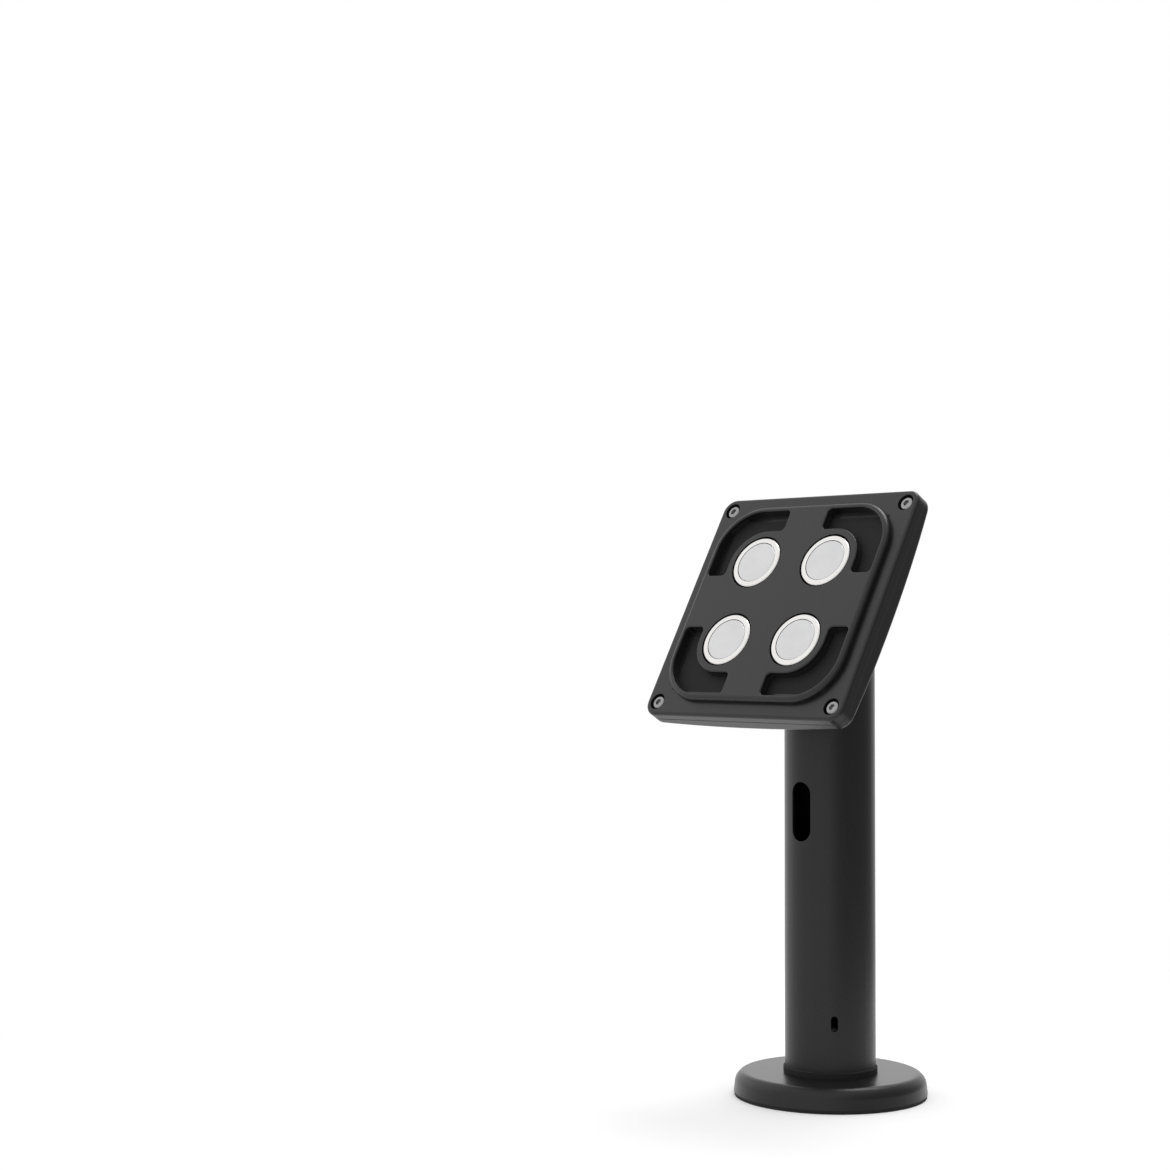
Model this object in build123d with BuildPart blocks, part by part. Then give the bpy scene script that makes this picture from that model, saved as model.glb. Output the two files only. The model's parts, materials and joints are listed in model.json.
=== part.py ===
from build123d import *
import math
import os

os.makedirs("parts", exist_ok=True)

# A counter stand for a tablet: a round foot, a pole, a tilting arm and a magnetic head.
# Millimetres, +Z up, origin on the counter under the pole's axis, the head faces -Y.

# Clearances shared by all pieces, and what every cut runs past its material.
overrun = 1.0
seat_gap = 0.05
running_gap = 0.03
face_gap = 0.05
moving_gap = 0.3

# Foot: rubber pad, steel plate, cover and the ring round the pole.
pad_thickness = 2.0
plate_thickness = 6.0
cable_hole_radius = 14.0
worktop_hole_radius = 3.25
worktop_cone_radius = 6.4
worktop_hole_inset = 10.5
worktop_hole_count = 3
cover_radius = 54.2
cover_wall = 1.8
cover_draft = 0.9
cover_slope_width = 3.6
cover_shoulder_rise = 1.8
cover_top_rise = 5.4
cover_shoulder_round = 6.5
cover_top_round = 4.5
pad_inset = 0.4
plate_side_gap = 1.9
collar_lip = 0.9
collar_height = 3.6
collar_bevel = 0.6
collar_neck = 0.5

# Pole: a two inch tube with a cable slot in front and a security slot to the right.
pole_radius = 25.4
pole_wall = 1.6
pole_above_pivot = 11.0
cable_slot_length = 33.0
cable_slot_width = 13.0
cable_slot_height = 160.0
security_slot_length = 8.6
security_slot_width = 3.9
security_slot_rise = 8.6
security_slot_angle = 45.0

# Plug in the pole's foot and its screws.
plug_height = 27.0
foot_screw_count = 3
foot_screw_angle = 30.0
foot_screw_depth = 12.0
foot_screw_head_radius = 4.6
foot_screw_radius = 2.5
lock_screw_height = 16.0
lock_screw_angle = 35.0
lock_screw_head_radius = 4.4
lock_screw_radius = 2.4
lock_screw_length = 7.0
lock_screw_sink = 0.4
socket_radius = 1.7
socket_depth = 1.4

# Hinge at the top of the pole.
pivot_height = 250.8
rest_lean = 30.0
upright_lean = 0.0
flattest_lean = 75.0
yoke_length = 57.0
yoke_wall = 5.5
yoke_floor = 6.0
yoke_cap_height = 5.0
yoke_cap_round = 2.4
yoke_screw_rise = 11.0
arm_width = 24.0
arm_thickness = 16.0
arm_round = 3.0
knuckle_radius = 12.0
bush_wall = 1.0
bush_middle_gap = 4.0
hinge_pin_radius = 4.0
pin_head_radius = 6.4
pin_head_height = 3.4
pin_head_sink = 1.5
pin_socket_radius = 2.9
pin_socket_depth = 2.2
washer_inset = 0.8
washer_thickness = 1.0
hinge_spring_radius = 7.6
hinge_nut_inset = 0.1
hinge_nut_height = 5.0
nut_well_gap = 0.5
nut_bevel = 0.6
nut_bevel_angle = 30.0
hinge_spring_thickness = 0.9
hinge_spring_rise = 0.35
nut_cheek = 4.0

# Arm's flange, spigot and what holds the head on it.
arm_swing_gap = 0.6
flange_radius = 28.0
flange_thickness = 5.0
flange_round = 1.2
arm_root_round = 2.2
turn_disc_inset = 2.5
turn_disc_thickness = 1.0
spigot_radius = 10.0
spigot_tip_bevel = 0.8
spigot_past_nut = 0.7
turn_bush_wall = 2.0
turn_bush_lip = 5.0
turn_bush_flange = 1.2
turn_nut_wall = 3.8
turn_nut_height = 4.0
turn_washer_overhang = 3.2
turn_washer_thickness = 1.5
turn_spring_overhang = 0.7
turn_spring_thickness = 1.0
turn_spring_rise = 0.5
stop_pin_radius = 2.0
stop_pin_inset = 6.5
stop_pin_depth = 3.0
turn_angle = 90.0

# Head: a domed back shell, a front shell with a raised face, and four screws.
head_corner = 8.0
split_depth = 10.0
flange_width = 8.5
flange_face_depth = 4.0
shell_wall = 2.5
bezel_wall = 2.2
shell_edge_round = 2.4
bezel_edge_round = 1.8
split_bevel = 0.35
dome_flat_margin = 4.0
dome_corner_rise = 6.0
face_rim = 3.5
face_corner = 28.0
face_edge_round = 2.5
screw_well_radius = 4.9
screw_well_depth = 3.0
screw_well_wall = 1.6
bezel_screw_head_radius = 4.0
bezel_screw_head_height = 2.3
bezel_screw_head_round = 1.0
bezel_screw_radius = 2.0
bezel_screw_grip = 3.5
shell_post_radius = 4.6

# Catch pockets: a square ring channel that four bars of the face cut into corners.
pocket_width = 13.3
pocket_depth = 5.6
pocket_floor = 1.6
pocket_wall = 1.6
pocket_side_bar = 34.0
pocket_end_bar = 28.0
pocket_end_round = 2.5
pocket_rim_round = 0.9

# Magnets: a steel cup with a core, screwed to a plate that stands on the back shell.
magnet_grid_width = 50.0
magnet_radius = 15.8
magnet_height = 7.0
magnet_hole_gap = 0.9
magnet_land = 4.0
magnet_edge_bevel = 0.4
core_radius = 12.5
core_height = 4.5
core_gap = 0.25
magnet_plate_margin = 2.2
magnet_plate_thickness = 2.0
magnet_plate_hole_margin = 2.5
magnet_screw_radius = 2.0
magnet_screw_head_radius = 3.8
magnet_screw_head_height = 1.8
magnet_screw_tip_gap = 0.5
plate_screw_inset = 5.0
plate_screw_radius = 1.5
plate_screw_head_radius = 2.9
plate_screw_head_height = 1.9
plate_screw_depth = 4.0
plate_post_radius = 3.6

# Foot and pole: heights and radii that follow from the sizes above.
plate_top = pad_thickness + plate_thickness
pad_radius = cover_radius - pad_inset
plate_radius = cover_radius - cover_wall - plate_side_gap
worktop_hole_circle_radius = plate_radius - worktop_hole_inset
cover_shoulder_radius = cover_radius - cover_draft
cover_shoulder_height = plate_top + cover_shoulder_rise
cover_top_radius = cover_shoulder_radius - cover_slope_width
cover_height = plate_top + cover_top_rise
cover_hole_radius = pole_radius + collar_neck + seat_gap
pole_bore_radius = pole_radius - pole_wall
plug_radius = pole_bore_radius - seat_gap
foot_screw_circle_radius = (cable_hole_radius + plug_radius) / 2
security_slot_height = plate_top + plug_height + security_slot_rise

# Hinge: heights, radii and distances to the side of the pole's axis.
pole_top = pivot_height + pole_above_pivot
yoke_bottom = pole_top - yoke_length
yoke_screw_height = yoke_bottom + yoke_screw_rise
knuckle_bore_radius = hinge_pin_radius + running_gap + bush_wall
bush_length = (arm_width - bush_middle_gap) / 2
washer_radius = knuckle_radius - washer_inset
hinge_nut_radius = hinge_spring_radius - hinge_nut_inset
nut_well_radius = hinge_spring_radius + nut_well_gap
mouth_width = arm_width + 2 * (washer_thickness + 2 * face_gap)
nut_seat = mouth_width / 2 + nut_cheek
pin_head_face = pole_radius - pin_head_sink
pin_head_seat = pin_head_face - pin_head_height

# Radii round the head's turning axis.
turn_disc_radius = flange_radius - turn_disc_inset
stop_pin_circle_radius = flange_radius - stop_pin_inset
turn_bush_radius = spigot_radius + running_gap + turn_bush_wall
turn_bush_flange_radius = spigot_radius + turn_bush_lip
turn_nut_radius = spigot_radius + turn_nut_wall
turn_spring_radius = turn_nut_radius + turn_spring_overhang
turn_washer_radius = turn_nut_radius + turn_washer_overhang
magnet_plate_hole_radius = turn_washer_radius + magnet_plate_hole_margin

# Sides of the head's squares, from the magnets outward.
magnet_hole_radius = magnet_radius + magnet_hole_gap
pocket_inner_corner = magnet_hole_radius + magnet_land
pocket_inner_side = magnet_grid_width + 2 * pocket_inner_corner
pocket_outer_side = pocket_inner_side + 2 * pocket_width
pocket_outer_corner = face_corner - face_rim
face_side = pocket_outer_side + 2 * face_rim
head_side = face_side + 2 * flange_width
corner_screw_side = head_side - 2 * head_corner
magnet_plate_corner = magnet_radius + magnet_plate_margin
magnet_plate_side = magnet_grid_width + 2 * magnet_plate_corner
plate_screw_circle_radius = magnet_plate_side / 2 - plate_screw_inset

# Distances along the head's normal from the pivot: the arm's flange swings clear of the yoke's
# rounded cap beside the mouth, and the rest is stacked on the flange up to the face.
cap_round_reach = math.hypot(
    pole_radius - yoke_cap_round, pole_above_pivot + yoke_cap_height - yoke_cap_round
)
yoke_swing_radius = math.sqrt((cap_round_reach + yoke_cap_round) ** 2 - (mouth_width / 2) ** 2)
flange_back = yoke_swing_radius + arm_swing_gap
flange_front = flange_back + flange_thickness
shell_back = flange_front + turn_disc_thickness + face_gap
shell_inside = shell_back + shell_wall
turn_washer_back = shell_inside + turn_bush_flange + face_gap
turn_spring_back = turn_washer_back + turn_washer_thickness
turn_nut_back = turn_spring_back + turn_spring_thickness + turn_spring_rise
spigot_end = turn_nut_back + turn_nut_height + spigot_past_nut
magnet_plate_back = spigot_end + moving_gap
magnet_plate_front = magnet_plate_back + magnet_plate_thickness
reach = magnet_plate_front + magnet_height
shell_split = reach - split_depth
bezel_flange_front = reach - flange_face_depth


def leaning(lean):
    """The plane through the pivot whose normal leans back by so many degrees."""
    back = math.radians(lean)
    normal = (0, -math.cos(back), math.sin(back))
    return Plane(origin=(0, 0, pivot_height), x_dir=(1, 0, 0), z_dir=normal)


def outward(angle, height):
    """The plane through the pole's axis that faces outward, turned from the front to the right."""
    turn = math.radians(angle)
    normal = (math.sin(turn), -math.cos(turn), 0)
    return Plane(origin=(0, 0, height), x_dir=(0, 0, 1), z_dir=normal)


def across(right):
    """A plane square to the hinge's axis, so far to the right of the pole's axis."""
    return Plane(origin=(right, 0, pivot_height), x_dir=(0, 1, 0), z_dir=(1, 0, 0))


def turned(points, rounded_top=0):
    """A solid of revolution about Z from points of radius and height."""
    with BuildPart() as piece:
        with BuildSketch(Plane.XZ):
            with BuildLine():
                Polyline(*points, close=True)
            make_face()
        revolve(axis=Axis.Z)
        if rounded_top:
            top = piece.faces().sort_by(Axis.Z)[-1]
            fillet(top.edges(), rounded_top)
    return piece.part


def ring(outer, inner, height):
    """A flat ring that stands on its own plane."""
    return turned([(inner, 0), (outer, 0), (outer, height), (inner, height)])


def disc_spring(outer, inner, thickness, rise):
    """A shallow cone washer whose outer edge stands on its own plane."""
    return turned([(inner, rise), (outer, 0), (outer, thickness), (inner, thickness + rise)])


def hex_nut(radius, bore, height):
    """A six sided nut that stands on its own plane, its corners bevelled at both ends."""
    slope = math.tan(math.radians(nut_bevel_angle))
    inside, outside, step = radius - nut_bevel, radius + nut_bevel, 2 * nut_bevel * slope
    with BuildPart() as piece:
        with BuildSketch():
            RegularPolygon(radius, 6)
        extrude(amount=height)
        profile = [(bore, 0), (inside, 0), (outside, step), (outside, height - step), (inside, height)]
        add(turned(profile + [(bore, height)]), mode=Mode.INTERSECT)
    return piece.part


def with_socket(screw, top, radius, depth):
    """The screw with a six sided socket sunk into its head."""
    with BuildPart() as piece:
        add(screw)
        with BuildSketch(Plane.XY.offset(top)):
            RegularPolygon(radius, 6)
        extrude(amount=-depth, mode=Mode.SUBTRACT)
    return piece.part


def flat_screw(head, shank, length):
    """A countersunk screw along -Z with the top of its head on its own plane."""
    cone = head - shank
    points = [(0, 0), (head, 0), (shank, -cone), (shank, -length), (0, -length)]
    return with_socket(turned(points), 0, socket_radius, socket_depth)


def flat_screw_hole(head, shank, length):
    """The space that a countersunk screw takes, with its seat gap."""
    wide, narrow, cone = head + seat_gap, shank + seat_gap, head - shank
    low = -length - seat_gap
    above = [(0, overrun), (wide, overrun)]
    return turned(above + [(wide, 0), (narrow, -cone), (narrow, low), (0, low)])


def head_screw(head, height, rounding, shank, length):
    """A button headed screw along -Z whose head stands on its own plane."""
    points = [(0, height), (head, height), (head, 0), (shank, 0), (shank, -length), (0, -length)]
    return with_socket(turned(points, rounding), height, head / 2, height / 2)


head_plane = leaning(rest_lean)


def at(distance):
    """The plane square to the head's axis, so far from the pivot."""
    return head_plane.offset(distance)


def level_edges(edges, distance, within):
    """The edges that lie on that plane, no further than so much from the head's axis."""
    chosen = ShapeList()
    for edge in edges:
        spot = head_plane.to_local_coords(edge.center())
        if abs(spot.Z - distance) < seat_gap and math.hypot(spot.X, spot.Y) < within:
            chosen.append(edge)
    return chosen


foot_screw_length = plate_thickness + foot_screw_depth
foot_screw = flat_screw(foot_screw_head_radius, foot_screw_radius, foot_screw_length)
foot_screw_hole = flat_screw_hole(foot_screw_head_radius, foot_screw_radius, foot_screw_length)
foot_screw_plane = Plane(origin=(0, 0, pad_thickness), x_dir=(1, 0, 0), z_dir=(0, 0, -1))
lock_screw = flat_screw(lock_screw_head_radius, lock_screw_radius, lock_screw_length)
lock_screw_hole = flat_screw_hole(lock_screw_head_radius, lock_screw_radius, lock_screw_length)


def lock_places(height):
    """The two planes at the back of the pole on which the screw heads lie."""
    angles = (180 - lock_screw_angle, 180 + lock_screw_angle)
    return [outward(angle, height).offset(pole_radius - lock_screw_sink) for angle in angles]


# Rubber pad: lies on the counter, with holes for the cable and the counter screws.
with BuildPart() as base_pad:
    with BuildSketch():
        Circle(pad_radius)
        Circle(cable_hole_radius, mode=Mode.SUBTRACT)
        with PolarLocations(worktop_hole_circle_radius, worktop_hole_count):
            Circle(worktop_hole_radius, mode=Mode.SUBTRACT)
    extrude(amount=pad_thickness)
base_pad.part.label = "base_pad"
export_step(base_pad.part, "parts/base_pad.step")

# Base plate: takes the counter screws from above and the plug's screws from below.
with BuildPart() as base_plate:
    with BuildSketch(Plane.XY.offset(pad_thickness)):
        Circle(plate_radius)
        Circle(cable_hole_radius, mode=Mode.SUBTRACT)
    extrude(amount=plate_thickness)
    with Locations((0, 0, plate_top)):
        with PolarLocations(worktop_hole_circle_radius, worktop_hole_count):
            CounterSinkHole(worktop_hole_radius, worktop_cone_radius, plate_thickness)
    with Locations(foot_screw_plane):
        with PolarLocations(foot_screw_circle_radius, foot_screw_count, start_angle=foot_screw_angle):
            add(foot_screw_hole, mode=Mode.SUBTRACT)
base_plate.part.label = "base_plate"
export_step(base_plate.part, "parts/base_plate.step")

# Foot plug: centres the pole on the plate and lets the cable through.
with BuildPart() as foot_plug:
    with BuildSketch(Plane.XY.offset(plate_top)):
        Circle(plug_radius)
        Circle(cable_hole_radius, mode=Mode.SUBTRACT)
    extrude(amount=plug_height)
    with Locations(foot_screw_plane):
        with PolarLocations(foot_screw_circle_radius, foot_screw_count, start_angle=foot_screw_angle):
            add(foot_screw_hole, mode=Mode.SUBTRACT)
    with Locations(*lock_places(plate_top + lock_screw_height)):
        add(lock_screw_hole, mode=Mode.SUBTRACT)
foot_plug.part.label = "foot_plug"
export_step(foot_plug.part, "parts/foot_plug.step")

# Foot screws: countersunk into the underside of the plate.
with BuildPart() as foot_screws:
    with Locations(foot_screw_plane):
        with PolarLocations(foot_screw_circle_radius, foot_screw_count, start_angle=foot_screw_angle):
            add(foot_screw)
foot_screws.part.label = "foot_screws"
export_step(foot_screws.part, "parts/foot_screws.step")

# Screws that lock the pole on its plug, through the back of the pole.
with BuildPart() as foot_lock_screws:
    with Locations(*lock_places(plate_top + lock_screw_height)):
        add(lock_screw)
foot_lock_screws.part.label = "foot_lock_screws"
export_step(foot_lock_screws.part, "parts/foot_lock_screws.step")

# Cover: a turned shell over the plate, with a slight draft and a rounded shoulder.
shoulder_point = (cover_shoulder_radius, cover_shoulder_height)
top_point = (cover_top_radius, cover_height)
with BuildPart() as base_cover:
    with BuildSketch(Plane.XZ):
        with BuildLine():
            Polyline(
                (cover_hole_radius, cover_height - cover_wall),
                (cover_hole_radius, cover_height),
                top_point,
                shoulder_point,
                (cover_radius, pad_thickness),
                (cover_radius - cover_wall, pad_thickness),
                (cover_shoulder_radius - cover_wall, cover_shoulder_height - cover_wall / 2),
                (cover_top_radius - cover_wall / 2, cover_height - cover_wall),
                close=True,
            )
        make_face()
        fillet(vertices().sort_by_distance(shoulder_point)[0], cover_shoulder_round)
        fillet(vertices().sort_by_distance(top_point)[0], cover_top_round)
    revolve(axis=Axis.Z)
base_cover.part.label = "base_cover"
export_step(base_cover.part, "parts/base_cover.step")

# Collar: closes the gap between the pole and the cover, with a bevelled lip above it.
with BuildPart() as foot_collar:
    add(turned([
        (pole_radius + seat_gap, cover_height - cover_wall),
        (pole_radius + collar_neck, cover_height - cover_wall),
        (pole_radius + collar_neck, cover_height),
        (pole_radius + collar_lip, cover_height),
        (pole_radius + collar_lip, cover_height + collar_height - collar_bevel),
        (pole_radius + collar_lip - collar_bevel, cover_height + collar_height),
        (pole_radius + seat_gap, cover_height + collar_height),
    ]))
foot_collar.part.label = "foot_collar"
export_step(foot_collar.part, "parts/foot_collar.step")

# Mouth for the arm: from its lowest edge upright to its rear edge when leaned fully back.
upright = leaning(upright_lean)
flattest = leaning(flattest_lean)
mouth_half = arm_thickness / 2 + moving_gap
mouth_reach = pole_radius + yoke_cap_height + overrun
mouth_low_back = upright.from_local_coords((0, -mouth_half, 0))
mouth_low_front = upright.from_local_coords((0, -mouth_half, mouth_reach))
mouth_rear_foot = flattest.from_local_coords((0, mouth_half, 0))
mouth_rear_top = flattest.from_local_coords((0, mouth_half, mouth_reach))
with BuildSketch(Plane.YZ) as mouth:
    with BuildLine():
        Polyline(
            (mouth_low_front.Y, mouth_low_front.Z),
            (mouth_low_back.Y, mouth_low_back.Z),
            (mouth_rear_foot.Y, mouth_rear_foot.Z),
            (mouth_rear_top.Y, mouth_rear_top.Z),
            (mouth_low_front.Y, mouth_rear_top.Z),
            close=True,
        )
    make_face()
    with Locations((0, pivot_height)):
        Circle(knuckle_radius + moving_gap)

# Pole: the tube with its two slots, the mouth for the arm and the holes for its screws.
with BuildPart() as pole_tube:
    with BuildSketch(Plane.XY.offset(plate_top)):
        Circle(pole_radius)
        Circle(pole_bore_radius, mode=Mode.SUBTRACT)
    extrude(amount=pole_top - plate_top)
    with BuildSketch(outward(0, cable_slot_height)):
        SlotOverall(cable_slot_length, cable_slot_width)
    extrude(amount=pole_radius + overrun, mode=Mode.SUBTRACT)
    with BuildSketch(outward(security_slot_angle, security_slot_height)):
        SlotOverall(security_slot_length, security_slot_width)
    extrude(amount=pole_radius + overrun, mode=Mode.SUBTRACT)
    extrude(mouth.sketch, amount=mouth_width / 2, both=True, mode=Mode.SUBTRACT)
    with BuildSketch(across(0)):
        Circle(pin_head_radius + moving_gap)
    extrude(amount=pole_radius + overrun, mode=Mode.SUBTRACT)
    with BuildSketch(across(0)):
        Circle(nut_well_radius)
    extrude(amount=-pole_radius - overrun, mode=Mode.SUBTRACT)
    with Locations(*lock_places(plate_top + lock_screw_height), *lock_places(yoke_screw_height)):
        add(lock_screw_hole, mode=Mode.SUBTRACT)
pole_tube.part.label = "pole_tube"
export_step(pole_tube.part, "parts/pole_tube.step")

# Yoke: a cast plug with a cap, hollow below, whose two cheeks carry the hinge pin.
with BuildPart() as neck_yoke:
    with BuildSketch(Plane.XY.offset(yoke_bottom)):
        Circle(pole_bore_radius - seat_gap)
    extrude(amount=yoke_length)
    with BuildSketch(Plane.XY.offset(pole_top)):
        Circle(pole_radius)
    extrude(amount=yoke_cap_height)
    fillet(neck_yoke.faces().sort_by(Axis.Z)[-1].edges(), yoke_cap_round)
    with BuildSketch(Plane.XY.offset(yoke_bottom)):
        Circle(pole_bore_radius - yoke_wall)
    extrude(amount=pivot_height - knuckle_radius - yoke_floor - yoke_bottom, mode=Mode.SUBTRACT)
    extrude(mouth.sketch, amount=mouth_width / 2, both=True, mode=Mode.SUBTRACT)
    with BuildSketch(across(0)):
        Circle(hinge_pin_radius + seat_gap)
    extrude(amount=pole_radius + overrun, both=True, mode=Mode.SUBTRACT)
    with BuildSketch(across(pin_head_seat)):
        Circle(pin_head_radius + seat_gap)
    extrude(amount=pole_radius, mode=Mode.SUBTRACT)
    with BuildSketch(across(-nut_seat)):
        Circle(nut_well_radius)
    extrude(amount=-pole_radius, mode=Mode.SUBTRACT)
    with Locations(*lock_places(yoke_screw_height)):
        add(lock_screw_hole, mode=Mode.SUBTRACT)
neck_yoke.part.label = "neck_yoke"
export_step(neck_yoke.part, "parts/neck_yoke.step")

# Screws that hold the yoke, through the back of the pole.
with BuildPart() as yoke_screws:
    with Locations(*lock_places(yoke_screw_height)):
        add(lock_screw)
yoke_screws.part.label = "yoke_screws"
export_step(yoke_screws.part, "parts/yoke_screws.step")

# Hinge pin: a shoulder screw from the right, with its nut on two disc springs at the left.
spring_stack = 2 * (hinge_spring_thickness + hinge_spring_rise) + seat_gap
nut_face = nut_seat + spring_stack
with BuildPart() as hinge_pin:
    with BuildSketch(across(pin_head_seat)):
        Circle(pin_head_radius)
    extrude(amount=pin_head_height)
    with BuildSketch(across(pin_head_seat)):
        Circle(hinge_pin_radius)
    extrude(amount=-pin_head_seat - nut_face - hinge_nut_height)
    with BuildSketch(across(pin_head_face)):
        RegularPolygon(pin_socket_radius, 6)
    extrude(amount=-pin_socket_depth, mode=Mode.SUBTRACT)
hinge_pin.part.label = "hinge_pin"
export_step(hinge_pin.part, "parts/hinge_pin.step")

with BuildPart() as hinge_nut:
    with Locations(across(-nut_face - hinge_nut_height)):
        add(hex_nut(hinge_nut_radius, hinge_pin_radius + seat_gap, hinge_nut_height))
hinge_nut.part.label = "hinge_nut"
export_step(hinge_nut.part, "parts/hinge_nut.step")

# Disc springs: two cones back to back, between cheek and nut.
spring = disc_spring(
    hinge_spring_radius, hinge_pin_radius + seat_gap, hinge_spring_thickness, hinge_spring_rise
)
spring_seat = Plane(origin=(-nut_seat, 0, pivot_height), x_dir=(0, 1, 0), z_dir=(-1, 0, 0))
spring_back = Plane(origin=(-nut_face, 0, pivot_height), x_dir=(0, 1, 0), z_dir=(1, 0, 0))
with BuildPart() as hinge_springs:
    with Locations(spring_seat, spring_back):
        add(spring)
hinge_springs.part.label = "hinge_springs"
export_step(hinge_springs.part, "parts/hinge_springs.step")

# Friction washers: one on each side of the knuckle, held by the cheeks.
washer = ring(washer_radius, hinge_pin_radius + seat_gap, washer_thickness)
washer_face = mouth_width / 2 - face_gap - washer_thickness
with BuildPart() as hinge_washers:
    with Locations(across(washer_face), across(-washer_face - washer_thickness)):
        add(washer)
hinge_washers.part.label = "hinge_washers"
export_step(hinge_washers.part, "parts/hinge_washers.step")

# Arm: the knuckle on the pin, the bar, the round flange and the spigot for the head.
with BuildPart() as tilt_arm:
    with BuildSketch(head_plane):
        RectangleRounded(arm_width, arm_thickness, arm_round)
    extrude(amount=flange_back)
    with BuildSketch(at(flange_back)):
        Circle(flange_radius)
    extrude(amount=flange_thickness)
    fillet(level_edges(tilt_arm.edges(), flange_back, arm_width), arm_root_round)
    fillet(tilt_arm.edges().filter_by(GeomType.CIRCLE).sort_by(SortBy.RADIUS)[-2:], flange_round)
    with BuildSketch(across(0)):
        Circle(knuckle_radius)
    extrude(amount=arm_width / 2, both=True)
    with BuildSketch(at(flange_front)):
        Circle(spigot_radius)
    extrude(amount=spigot_end - flange_front)
    chamfer(level_edges(tilt_arm.edges(), spigot_end, arm_width), spigot_tip_bevel)
    with BuildSketch(across(0)):
        Circle(knuckle_bore_radius + seat_gap)
    extrude(amount=arm_width, both=True, mode=Mode.SUBTRACT)
    with BuildSketch(at(flange_front)):
        with PolarLocations(stop_pin_circle_radius, 1, start_angle=90):
            Circle(stop_pin_radius + seat_gap)
    extrude(amount=-stop_pin_depth, mode=Mode.SUBTRACT)
tilt_arm.part.label = "tilt_arm"
export_step(tilt_arm.part, "parts/tilt_arm.step")

# Knuckle bushes: a plain sleeve in each end of the knuckle's bore.
sleeve = ring(knuckle_bore_radius, hinge_pin_radius + running_gap, bush_length)
with BuildPart() as knuckle_bushes:
    with Locations(across(arm_width / 2 - bush_length), across(-arm_width / 2)):
        add(sleeve)
knuckle_bushes.part.label = "knuckle_bushes"
export_step(knuckle_bushes.part, "parts/knuckle_bushes.step")

# Turn disc: plain friction disc on the flange, keyed by the stop pin.
with BuildPart() as turn_disc:
    with BuildSketch(at(flange_front)):
        Circle(turn_disc_radius)
        Circle(spigot_radius + seat_gap, mode=Mode.SUBTRACT)
        with PolarLocations(stop_pin_circle_radius, 1, start_angle=90):
            Circle(stop_pin_radius + seat_gap, mode=Mode.SUBTRACT)
    extrude(amount=turn_disc_thickness)
turn_disc.part.label = "turn_disc"
export_step(turn_disc.part, "parts/turn_disc.step")

# Stop pin: pressed into the flange, its tip runs in the arc slot of the back shell.
with BuildPart() as turn_stop_pin:
    with BuildSketch(at(flange_front - stop_pin_depth)):
        with PolarLocations(stop_pin_circle_radius, 1, start_angle=90):
            Circle(stop_pin_radius)
    extrude(amount=shell_inside - moving_gap - flange_front + stop_pin_depth)
turn_stop_pin.part.label = "turn_stop_pin"
export_step(turn_stop_pin.part, "parts/turn_stop_pin.step")

# Washer, disc spring and nut: hold the head on the spigot, inside the head.
with BuildPart() as turn_washer:
    with Locations(at(turn_washer_back)):
        add(ring(turn_washer_radius, spigot_radius + seat_gap, turn_washer_thickness))
turn_washer.part.label = "turn_washer"
export_step(turn_washer.part, "parts/turn_washer.step")

with BuildPart() as turn_spring:
    with Locations(at(turn_spring_back)):
        add(disc_spring(
            turn_spring_radius, spigot_radius + seat_gap, turn_spring_thickness, turn_spring_rise
        ))
turn_spring.part.label = "turn_spring"
export_step(turn_spring.part, "parts/turn_spring.step")

with BuildPart() as turn_nut:
    with Locations(at(turn_nut_back)):
        add(hex_nut(turn_nut_radius, spigot_radius + seat_gap, turn_nut_height))
turn_nut.part.label = "turn_nut"
export_step(turn_nut.part, "parts/turn_nut.step")

# Turn bush: flanged sleeve in the back shell, runs on the spigot.
with BuildPart() as turn_bush:
    with Locations(at(shell_back)):
        add(turned([
            (spigot_radius + running_gap, 0),
            (turn_bush_radius, 0),
            (turn_bush_radius, shell_wall),
            (turn_bush_flange_radius, shell_wall),
            (turn_bush_flange_radius, shell_wall + turn_bush_flange),
            (spigot_radius + running_gap, shell_wall + turn_bush_flange),
        ]))
turn_bush.part.label = "turn_bush"
export_step(turn_bush.part, "parts/turn_bush.step")

# Back shell: a shallow tray with a gently domed back, flat in the middle for the friction disc.
dome_flat_radius = flange_radius + dome_flat_margin
dome_edge_radius = math.hypot(head_side / 2, head_side / 2)
cavity_side = head_side - 2 * shell_wall
cavity_corner = head_corner - shell_wall
screw_well_floor = bezel_flange_front - screw_well_depth
screw_tip = shell_split - bezel_screw_grip


def dome(height):
    """The turned block that bounds a dome: its flat, then an arc that rises to the corners."""
    with BuildPart() as piece:
        with BuildSketch(Plane.XZ):
            with BuildLine():
                flat = Line((0, 0), (dome_flat_radius, 0))
                rise = TangentArc(flat @ 1, (dome_edge_radius, dome_corner_rise), tangent=(1, 0))
                Polyline(rise @ 1, (dome_edge_radius, height), (0, height), (0, 0))
            make_face()
        revolve(axis=Axis.Z)
    return piece.part


def domed(back, side, corner):
    """A rounded square block from the split back to a dome that starts at that distance."""
    with BuildPart() as piece:
        with BuildSketch(at(back)):
            RectangleRounded(side, side, corner)
        extrude(amount=shell_split - back)
        with Locations(at(back)):
            add(dome(shell_split - back), mode=Mode.INTERSECT)
    return piece.part


with BuildPart() as rear_cavity:
    add(domed(shell_inside, cavity_side, cavity_corner))
    with BuildSketch(at(shell_inside)):
        with GridLocations(corner_screw_side, corner_screw_side, 2, 2):
            Circle(shell_post_radius)
    extrude(amount=shell_split - shell_inside, mode=Mode.SUBTRACT)

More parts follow.
